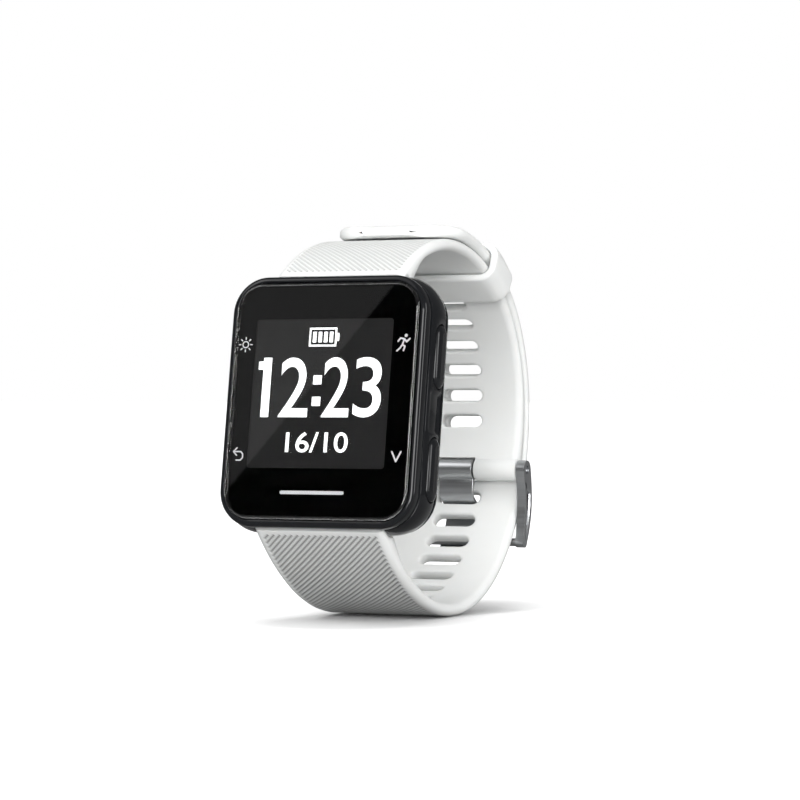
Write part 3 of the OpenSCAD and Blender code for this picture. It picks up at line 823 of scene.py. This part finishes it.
class WATCH_OT_picture(bpy.types.Operator):
    """Make the picture's digits, date and battery sign"""
    bl_idname = "watch.picture"
    bl_label = "Picture"

    def execute(self, context):
        bm = bmesh.new()
        foot = -2.5
        top = foot + mm(sizes().digit_height)
        self.block(bm, -10.05, (foot + top) / 2, 1.4, top - foot)
        self.block(bm, -11.1, top - 1.25, 1.0, 1.3)
        for z in (0.0, 3.4):
            self.block(bm, -1.24, z, 1.45, 1.45)
        self.battery(bm, -0.8, 10.18)
        close_back(bm)
        glyph(bm, "2", (-7.68, -2.64, foot, top), 0.006)
        glyph(bm, "2", (-0.22, 4.42, foot, top), 0.006)
        glyph(bm, "3", (5.11, 9.8, foot, top), 0.006)
        glyph(bm, "16/10", (-6.0, 4.7, -8.05, -4.85), 0.008)
        finish(bm, "picture_digits", "picture_marks", "watch", (), CASE)
        return {"FINISHED"}

    def block(self, bm, x, z, wide, high, corner=0.06):
        face = plate(bm, wide, high, corner, facing_front(PICTURE_REAR, x, z), 3)
        rise(bm, face, [(0, PICTURE_REAR - PICTURE_FRONT)])

    def battery(self, bm, x, z):
        for side in (-1, 1):
            self.block(bm, x, z + side * 1.35, 4.75, 0.3)
            self.block(bm, x + side * 2.225, z, 0.3, 2.38)
        for index in range(4):
            self.block(bm, x - 1.44 + 0.96 * index, z, 0.62, 1.7)
        self.block(bm, x + 2.6, z, 0.4, 1.3, 0.1)


class WATCH_OT_case(bpy.types.Operator):
    """Round the moulded case's sides, recess the panels between its buttons and soften its rims"""
    bl_idname = "watch.case"
    bl_label = "Case"

    def execute(self, context):
        bm = copied("mid_case")
        for depth in (2.25, 2.75, 3.1, 3.45, 3.8, 4.3, 4.9, 5.5, 6.1, 6.7, 7.2, 7.6, 8.0):
            split(bm, (0, depth, 0), (0, 1, 0))
        for height in (-4.5, -4.2, -3.8, 1.6, 2.0, 2.3):
            split(bm, (0, 0, height), (0, 0, 1))
        for vert in bm.verts:
            over = Vector((abs(vert.co.x) - CASE_SIDE + CASE_CORNER, abs(vert.co.z) - CASE_END + CASE_CORNER))
            round_corner = over.x > 0 and over.y > 0
            reach = over.length if round_corner else max(over.x, over.y)
            if reach < CASE_CORNER - 0.35:
                continue
            way = over.normalized() if round_corner else Vector((1, 0) if over.x > over.y else (0, 1))
            depth = vert.co.y
            sink = 0.75 * max(0, (5 - depth) / 3) ** 2 + 0.6 * max(0, (depth - 5) / 3.4) ** 2
            if over.x > over.y and not round_corner:
                along = smooth(-4.5, -3.8, vert.co.z) * (1 - smooth(1.6, 2.3, vert.co.z))
                sink += 0.4 * along * smooth(3.1, 3.8, depth) * (1 - smooth(7.2, 7.6, depth))
            vert.co.x -= math.copysign(way.x * sink, vert.co.x)
            vert.co.z -= math.copysign(way.y * sink, vert.co.z)
        shell = finish(bm, "case_shell", "gloss_black", "watch", "mid_case", CASE, recalc=False)
        soften(shell, mm(sizes().edge), 2, 40)
        return {"FINISHED"}


class WATCH_OT_back(bpy.types.Operator):
    """Soften the rear shell and make the sensor's lens, the screws and the contacts"""
    bl_idname = "watch.back"
    bl_label = "Rear of the case"

    def execute(self, context):
        edge = mm(sizes().edge)
        shell = finish(copied("back_cover"), "rear_shell", "satin_black", "watch", "back_cover", CASE,
                       recalc=False)
        soften(shell, edge * 1.4, 3)
        for node in ("back_screws", "charge_contacts"):
            piece = finish(copied(node), f"{node}_dressed", SLOT_OF[node], "watch", node, CASE, recalc=False)
            soften(piece, 0.08, 2)
        bm = bmesh.new()
        turned_piece(bm, [(12.1, 0), (12.1, 6.37), (12.95, 6.37), (13.08, 6.3), (13.2, 6.1), (13.27, 5.7),
                          (13.29, 5.0), (13.3, 3.0), (13.3, 0)], (0, 0, 0), (0, 1, 0), (1, 0, 0), 64)
        finish(bm, "sensor_lens_disc", "sensor_lens", "watch", "sensor_window", CASE)
        return {"FINISHED"}


class WATCH_OT_buttons(bpy.types.Operator):
    """Make the four long buttons: crowned caps with a raised sign, on grooved stems"""
    bl_idname = "watch.buttons"
    bl_label = "Buttons"

    PLACES = {"light": (-1, 7.7), "run": (1, 7.7), "back": (-1, -10), "down": (1, -10)}
    SIGNS = {
        "light": [[(-0.5, 0), (0.5, 0)], [(0, -0.5), (0, 0.5)]],
        "run": [[(-0.6, 0.9), (0.3, 0.1), (-0.3, -0.9)], [(0.3, 0.1), (0.7, -0.6)]],
        "back": [[(0.5, 0.7), (-0.5, 0), (0.5, -0.7)]],
        "down": [[(-0.6, 0.35), (0, -0.45), (0.6, 0.35)]],
    }

    def execute(self, context):
        for name, (side, height) in self.PLACES.items():
            self.cap(name, side, height)
        return {"FINISHED"}

    def cap(self, name, side, height):
        bm = bmesh.new()
        face = pill(bm, BUTTON_LONG, BUTTON_RADIUS, facing_side(side, BUTTON_INNER, BUTTON_DEPTH, height), 28)
        rise(bm, face, [(0, 0.03), (0, 0.55), (0.06, 0.16), (0.14, 0.15), (0.2, 0.12), (0.24, 0.09),
                        (0.25, 0.06), (0.3, 0.05), (0.25, 0.03), (0.2, 0.01)])
        close_back(bm)
        turned_piece(bm, [(12.95, 0), (12.95, 0.8), (14.24, 0.8), (14.24, 0.55), (14.58, 0.55), (14.58, 0.8),
                          (15.55, 0.8), (15.55, 0.55), (16.05, 0.55), (16.05, 0.8),
                          (BUTTON_INNER + 0.1, 0.8), (BUTTON_INNER + 0.1, 0)],
                     (0, BUTTON_DEPTH, height), (side, 0, 0), (0, 1, 0), 24)
        for points in self.SIGNS[name]:
            for a, b in zip(points, points[1:]):
                rounded_bar(bm, a, b, 0.11, facing_side(side, BUTTON_OUTER, BUTTON_DEPTH, height), 0.03, 5)
        close_back(bm)
        for each in bm.faces:
            each.material_index = int(min(abs(v.co.x) for v in each.verts) > BUTTON_OUTER - 0.005)
        node = f"{name}_button"
        finish(bm, f"{name}_cap", ["satin_black", "seal"], body_of(node), node, CASE, 40)


def slot_distance(x, run):
    """Distance of a point from the middle line of a hole across the strap."""
    return math.hypot(max(0.0, abs(x) - SLOT_HALF), run)


def strap_half(name, node, start, end, slots, rib_turn, outer, inner, half_width=None, notch=None,
               knuckles=()):
    """One half of the strap: a ribbed sheet with rimmed holes, thickened, bent on its path, with knuckles."""
    width = STRAP_WIDTH
    cell = mm(sizes().rib_pitch) / RIB_CELLS
    columns, rows = round(width / cell), round((end - start) / cell)
    rim, margin, rib = mm(sizes().slot_rim), mm(sizes().strap_edge), mm(sizes().rib_depth)
    bm = bmesh.new()
    bmesh.ops.create_grid(bm, x_segments=columns, y_segments=rows, size=0.5,
                          matrix=Matrix.Translation((0, (start + end) / 2, 0))
                          @ Matrix.Diagonal((width, end - start, 1, 1)))

    def in_hole(face):
        x, run = face.calc_center_median()[:2]
        if notch and abs(x) < notch[0] and run < notch[1]:
            return True
        return abs(x) < 4.55 and any(abs(run - slot) < 1.9 for slot in slots)

    bmesh.ops.delete(bm, geom=[face for face in bm.faces if in_hole(face)], context="FACES")
    for slot in slots:
        loop = [edge for edge in open_edges(bm)
                if all(abs(v.co.x) < 4.9 and abs(v.co.y - slot) < 2.2 for v in edge.verts)]
        for radius in (SLOT_RADIUS + rim, SLOT_RADIUS + rim * 0.35, SLOT_RADIUS):
            fresh = set(verts_of(bmesh.ops.extrude_edge_only(bm, edges=loop)))
            for vert in fresh:
                middle = Vector((max(-SLOT_HALF, min(SLOT_HALF, vert.co.x)), slot, 0))
                vert.co = middle + (vert.co - middle).normalized() * radius
            loop = list({edge for vert in fresh for edge in vert.link_edges
                         if edge.is_boundary and all(v in fresh for v in edge.verts)})
    bmesh.ops.recalc_face_normals(bm, faces=bm.faces)
    thickened(bm, (0, 0, 1))
    bmesh.ops.recalc_face_normals(bm, faces=bm.faces)
    # Vertices at the bottom of a groove are marked for the silicone's painted shade, which darkens the
    # grooves.
    groove_shade_mark = bm.verts.layers.float.new("groove")
    for vert in bm.verts:
        x, run, inside = vert.co.x, vert.co.y, vert.co.z > 0.5
        over = max(0.0, abs(x) - (width / 2 - margin)) / margin
        drop = 0.62 * over ** 2
        near = min((slot_distance(x, run - slot) for slot in slots), default=9)
        if near < SLOT_RADIUS + 0.01:
            drop += 0.3
        elif near < SLOT_RADIUS + 0.01 + rim * 0.36:
            drop += 0.08
        if run > end - 1.2 and half_width:
            drop += 0.5 * ((run - end + 1.2) / 1.2) ** 2
        if inside:
            inward = inner(run) - drop
        else:
            index = round((x + width / 2) / cell) + rib_turn * round((run - start) / cell)
            off_grid = near < SLOT_RADIUS + 0.02 + rim
            groove = index % RIB_CELLS == 0 and over == 0 and not off_grid and start + 0.8 < run < end - 1.6
            vert[groove_shade_mark] = 1.0 if groove else 0.0
            inward = outer(run) + drop + (rib if groove else 0)
        if half_width:
            x *= half_width(run) / (width / 2)
        vert.co = along_strap(x, run, inward) / MM
    for centre, radius, bore, spans in knuckles:
        for low, high in spans:
            turned_piece(bm, [(low, bore), (low, radius - 0.2), (low + 0.2, radius), (high - 0.2, radius),
                              (high, radius - 0.2), (high, bore), (low, bore)],
                         centre, (1, 0, 0), (0, 1, 0), 40)
    finish(bm, name, "white_silicone", body_of(node), node, IN_MM, 48)


def lug_centre(end):
    return CASE @ Vector((0, LUG_BAR_DEPTH, end * LUG_BAR_HEIGHT)) / MM


class WATCH_OT_lower_strap(bpy.types.Operator):
    """Make the long half of the strap, ribbed outside, with its holes, rounded tail and lug knuckle"""
    bl_idname = "watch.lower_strap"
    bl_label = "Long half of the strap"

    def execute(self, context):
        def inner(run):
            full = THICK + (ROOT_THICK - THICK) * fade(run / ROOT_RUN)
            return THICK + (full - THICK) * smooth(2.4, 4.2, run)

        def tail(run):
            back = max(0.0, run - (TAIL_END - TAIL_CORNER))
            return STRAP_WIDTH / 2 - TAIL_CORNER + math.sqrt(max(0.0, TAIL_CORNER ** 2 - back * back))

        edge = STRAP_WIDTH / 2
        strap_half("long_strap", "lower_strap", 0.0, TAIL_END - 0.1, LONG_HOLES, 1,
                   lambda run: 0.0, inner, tail,
                   knuckles=[(lug_centre(-1), KNUCKLE, KNUCKLE_BORE, [(-edge, edge)])])
        return {"FINISHED"}


class WATCH_OT_upper_strap(bpy.types.Operator):
    """Make the short half of the strap, with its holes, the notch for the tongue and both knuckles"""
    bl_idname = "watch.upper_strap"
    bl_label = "Short half of the strap"

    def execute(self, context):
        bar_run, bar_in = strap_place(lug_centre(1))

        def inner(run):
            thick = (SHORT_THICK + (ROOT_THICK - SHORT_THICK) * fade((STRAP_END - run) / ROOT_RUN)
                     + (END_THICK - SHORT_THICK) * fade((run - PIN_RUN) / BUCKLE_RUN))
            clear = max(0.4, bar_in - 1.05 - SHORT_OUTSIDE)
            thinned = (clear - thick) * smooth(bar_run - 3.4, bar_run - 1.6, run) * (thick > clear)
            return SHORT_OUTSIDE + thick + thinned

        pin = along_strap(0, PIN_RUN, PIN_IN) / MM
        edge, notch = STRAP_WIDTH / 2, NOTCH[0]
        strap_half("short_strap", "upper_strap", PIN_RUN + 1.0, STRAP_END, SHORT_HOLES, -1,
                   lambda run: SHORT_OUTSIDE, inner, notch=NOTCH,
                   knuckles=[(lug_centre(1), KNUCKLE, KNUCKLE_BORE, [(-edge, edge)]),
                             (pin, PIN_KNUCKLE, PIN_BORE, [(-edge, -notch), (notch, edge)])])
        return {"FINISHED"}


class WATCH_OT_keeper(bpy.types.Operator):
    """Make the keeper: a soft loop with rolled edges and a slightly crowned band"""
    bl_idname = "watch.keeper"
    bl_label = "Keeper"

    def execute(self, context):
        wide, low, high, wall, long = 24.9, -1.46, 5.66, 1.18, 8.4
        middle = (low + high) / 2
        bm = bmesh.new()
        place = (Matrix.Translation((0, KEEPER_RUN + long / 2, middle))
                 @ Matrix.Rotation(-math.pi / 2, 4, "X"))
        inner = rise(bm, plate(bm, wide, high - low, 2.7, place, 9), [(wall, 0)])
        bmesh.ops.delete(bm, geom=[inner], context="FACES_ONLY")
        thickened(bm, (0, -long, 0))
        bmesh.ops.recalc_face_normals(bm, faces=bm.faces)

        def span(edge, axis):
            return abs(edge.verts[0].co[axis] - edge.verts[1].co[axis])

        rims = [edge for edge in bm.edges if span(edge, 1) < 1e-4 and edge.calc_face_angle(0) > 1]
        bmesh.ops.bevel(bm, geom=rims, offset=0.42, offset_type="OFFSET", segments=4, profile=0.5,
                        affect="EDGES", material=-1)
        for axis, least, cuts in ((1, long / 2, 9), (0, 12, 11)):
            edges = [edge for edge in bm.edges if span(edge, axis) > least]
            bmesh.ops.subdivide_edges(bm, edges=edges, cuts=cuts, use_grid_fill=True)
        for vert in bm.verts:
            x, run, inward = vert.co
            share = 1 - (2 * (run - KEEPER_RUN) / long) ** 2
            outside = abs(x) > 11.9 or abs(inward - middle) > 2.9
            if abs(inward - middle) > 2.9:
                inward += math.copysign(0.22 * share, inward - middle)
            vert.co = along_strap(x * (1 + 0.004 * share * outside), run, inward) / MM
        finish(bm, "keeper_loop", "white_silicone", body_of("keeper"), "keeper", IN_MM, 50)
        return {"FINISHED"}


class WATCH_OT_buckle(bpy.types.Operator):
    """Soften the steel frame, tongue and bar of the buckle"""
    bl_idname = "watch.buckle"
    bl_label = "Buckle"

    def execute(self, context):
        pieces = (("buckle_frame", 0.3, 3), ("buckle_tongue", 0.13, 2), ("buckle_bar", 0.12, 2))
        for node, width, segments in pieces:
            bm = copied(node, IN_MM)
            if node == "buckle_frame":
                self.channels(bm)
            piece = finish(bm, f"{node}_dressed", SLOT_OF[node], body_of(node), node, IN_MM, recalc=False)
            soften(piece, width, segments, 40)
        return {"FINISHED"}

    def channels(self, bm):
        """Sinks a channel into the outer side of each arm, from below the bar's hole to its end.

        Known fault: the inset is wider than the arm's narrow end allows, so its outline crosses itself.
        """
        start = along_strap(0, PIN_RUN - CHANNEL_START, PIN_IN) / MM
        way = (start - along_strap(0, PIN_RUN, PIN_IN) / MM).normalized()
        split(bm, start, way)
        bmesh.ops.dissolve_limit(bm, angle_limit=math.radians(0.6), verts=[], edges=[
            e for e in bm.edges if all((v.co - start).dot(way) > 0.05 for v in e.verts)])
        for face in list(bm.faces):
            centre = face.calc_center_median()
            outside = face.normal.x * math.copysign(1, centre.x) > 0.99 and abs(centre.x) > 11
            if outside and (centre - start).dot(way) > 0 and face.calc_area() > 12:
                rise(bm, face, [(0.8, 0), (0.1, -0.3)])


class WATCH_OT_stage(bpy.types.Operator):
    """Set the pale floor, the studio lights and the camera"""
    bl_idname = "watch.stage"
    bl_label = "Stage"

    def execute(self, context):
        self.floor()
        self.sky()
        self.camera()
        lights = bpy.context.scene.watch_lights
        self.softbox("key_light", (-0.55, -0.42, 0.62), 0.5, lights.key)
        self.softbox("side_light", (0.68, -0.12, 0.2), 0.35, lights.side)
        self.softbox("low_fill", (0.1, -0.6, -0.01), 0.12, lights.low)
        self.softbox("front_fill", (0.3, -0.85, 0.12), 0.5, lights.front)
        self.overhead(lights.sun)
        self.cards()
        bpy.context.scene.view_settings.view_transform = "Standard"
        return {"FINISHED"}

    def floor(self):
        bm = bmesh.new()
        bmesh.ops.create_grid(bm, x_segments=1, y_segments=1, size=40,
                              matrix=Matrix.Translation((0, 0, CAD_BOX[0][2] - 0.0002)))
        mesh = bpy.data.meshes.new("floor")
        bm.to_mesh(mesh)
        bm.free()
        floor = placed("floor", mesh)
        tree, shader = blank("floor")
        shader.inputs["Roughness"].default_value = 0.9
        shader.inputs["Specular IOR Level"].default_value = 0.0
        shader.inputs["Emission Color"].default_value = (1, 1, 1, 1)
        # Painted contact shadow: for camera rays the floor glows white, and the glow fades with ambient
        # occlusion near the watch. Other rays find a darker grey floor, so little light bounces back onto the
        # watch.
        rays = add(tree, "ShaderNodeLightPath")
        contact_shadow_ao = add(tree, "ShaderNodeAmbientOcclusion", Distance=0.055)
        contact_shadow_lift = add(tree, "ShaderNodeMapRange", From_Min=0.6, To_Max=0.75)
        seen = add(tree, "ShaderNodeMath", operation="MULTIPLY")
        tone = mixed(tree, rays.outputs["Is Camera Ray"], (0.35, 0.35, 0.35), (0.9, 0.9, 0.9))
        tree.links.new(tone, shader.inputs["Base Color"])
        tree.links.new(contact_shadow_ao.outputs["AO"], contact_shadow_lift.inputs["Value"])
        tree.links.new(contact_shadow_lift.outputs["Result"], seen.inputs[0])
        tree.links.new(rays.outputs["Is Camera Ray"], seen.inputs[1])
        tree.links.new(seen.outputs[0], shader.inputs["Emission Strength"])
        mesh.materials.append(bpy.data.materials["floor"])

    def sky(self):
        world = bpy.data.worlds.new("sky")
        bpy.context.scene.world = world
        world.use_nodes = True
        tree = world.node_tree
        tree.nodes.clear()
        rays = add(tree, "ShaderNodeLightPath")
        amount = bpy.context.scene.watch_lights.sky
        tone = add(tree, "ShaderNodeMapRange", To_Min=amount, To_Max=0.17)
        seen = add(tree, "ShaderNodeMath", operation="MAXIMUM")
        light = add(tree, "ShaderNodeBackground", Color=(1, 1, 1, 1))
        end = add(tree, "ShaderNodeOutputWorld")
        tree.links.new(rays.outputs["Is Glossy Ray"], tone.inputs["Value"])
        tree.links.new(tone.outputs["Result"], seen.inputs[0])
        tree.links.new(rays.outputs["Is Camera Ray"], seen.inputs[1])
        tree.links.new(seen.outputs[0], light.inputs["Strength"])
        tree.links.new(light.outputs[0], end.inputs["Surface"])

    def camera(self):
        data = bpy.data.cameras.new("camera")
        data.lens, data.sensor_width = 136.1, 36
        data.clip_start, data.clip_end = 0.01, 100
        camera = placed("camera", data)
        camera.location = CASE.translation + Vector((0.2009, -0.4247, 0.00005))
        camera.rotation_euler = (math.pi / 2, 0, math.radians(23.81))
        bpy.context.scene.camera = camera

    def softbox(self, name, place, size, power):
        data = bpy.data.lights.new(name, "AREA")
        data.shape, data.size, data.energy = "SQUARE", size, power
        light = placed(name, data)
        light.location = place
        light.rotation_euler = (-Vector(place)).to_track_quat("-Z", "Y").to_euler()
        light.visible_camera = False

    def overhead(self, power):
        data = bpy.data.lights.new("overhead", "SUN")
        data.energy, data.angle = power, math.radians(50)
        light = placed("overhead", data)
        light.rotation_euler = Vector((-0.3, -0.5, 0.8)).to_track_quat("Z", "Y").to_euler()

    def cards(self):
        """Two cards seen only as mirror images: a white one with its edge across the glass, a black one
        behind."""
        first, second = Vector((11.4, 0, 18.56)), Vector((-15.45, 0, -14.56))
        along = (first - second).normalized()
        outward = Vector((-along.z, 0, along.x))
        low, high = second - along * 8, first + along * 8
        self.card("white_card", (low, high, low + outward * 42, high + outward * 42), 0.6, 0.2)
        spots = [Vector((x, 0, z)) for z in (-30, 30) for x in (-26, 26)]
        self.card("black_card", spots, 0.62, 0.0)

    def card(self, name, spots, distance, strength):
        """A card whose corners appear at the given spots of the glass."""
        eye = bpy.context.scene.camera.location
        normal = -(CASE.to_3x3() @ Vector((0, 1, 0))).normalized()
        centre = CASE.translation
        middle = (centre - eye).reflect(normal).normalized()
        bm = bmesh.new()
        corners = bmesh.ops.create_grid(bm, x_segments=1, y_segments=1, size=1)["verts"]
        for vert in corners:
            place = CASE @ spots[(vert.co.x > 0) + 2 * (vert.co.y > 0)]
            way = (place - eye).reflect(normal).normalized()
            vert.co = place + way * (distance - (place - centre).dot(middle)) / way.dot(middle)
        mesh = bpy.data.meshes.new(name)
        bm.to_mesh(mesh)
        bm.free()
        card = placed(name, mesh)
        shader = blank(name)[1]
        shader.inputs["Base Color"].default_value = (0, 0, 0, 1)
        shader.inputs["Roughness"].default_value = 1.0
        shader.inputs["Specular IOR Level"].default_value = 0.0
        shader.inputs["Emission Color"].default_value = (1, 1, 1, 1)
        shader.inputs["Emission Strength"].default_value = strength
        mesh.materials.append(bpy.data.materials[name])
        card.visible_camera = card.visible_diffuse = card.visible_shadow = False


OPERATORS = (
    WATCH_OT_finishes, WATCH_OT_inside, WATCH_OT_springs, WATCH_OT_bezel, WATCH_OT_glass,
    WATCH_OT_picture, WATCH_OT_case, WATCH_OT_back, WATCH_OT_buttons, WATCH_OT_lower_strap,
    WATCH_OT_upper_strap, WATCH_OT_keeper, WATCH_OT_buckle, WATCH_OT_stage,
)


class WATCH_PT_panel(bpy.types.Panel):
    """The watch's pieces, in the order they are made."""
    bl_label = "Running watch"
    bl_space_type = "VIEW_3D"
    bl_region_type = "UI"
    bl_category = "Watch"

    def draw(self, context):
        for group in (context.scene.watch_sizes, context.scene.watch_colours, context.scene.watch_lights):
            for key in group.__annotations__:
                self.layout.prop(group, key)
        for operator in OPERATORS:
            self.layout.operator(operator.bl_idname)


GROUPS = {"watch_sizes": WatchSizes, "watch_colours": WatchColours, "watch_lights": WatchLights}


def register():
    for name, group in GROUPS.items():
        bpy.utils.register_class(group)
        setattr(bpy.types.Scene, name, bpy.props.PointerProperty(type=group))
    for operator in OPERATORS:
        bpy.utils.register_class(operator)
    bpy.utils.register_class(WATCH_PT_panel)


def unregister():
    bpy.utils.unregister_class(WATCH_PT_panel)
    for operator in reversed(OPERATORS):
        bpy.utils.unregister_class(operator)
    for name, group in GROUPS.items():
        delattr(bpy.types.Scene, name)
        bpy.utils.unregister_class(group)


def main():
    register()
    for operator in OPERATORS:
        space, call = operator.bl_idname.split(".")
        getattr(getattr(bpy.ops, space), call)()


if __name__ == "__main__":
    main()
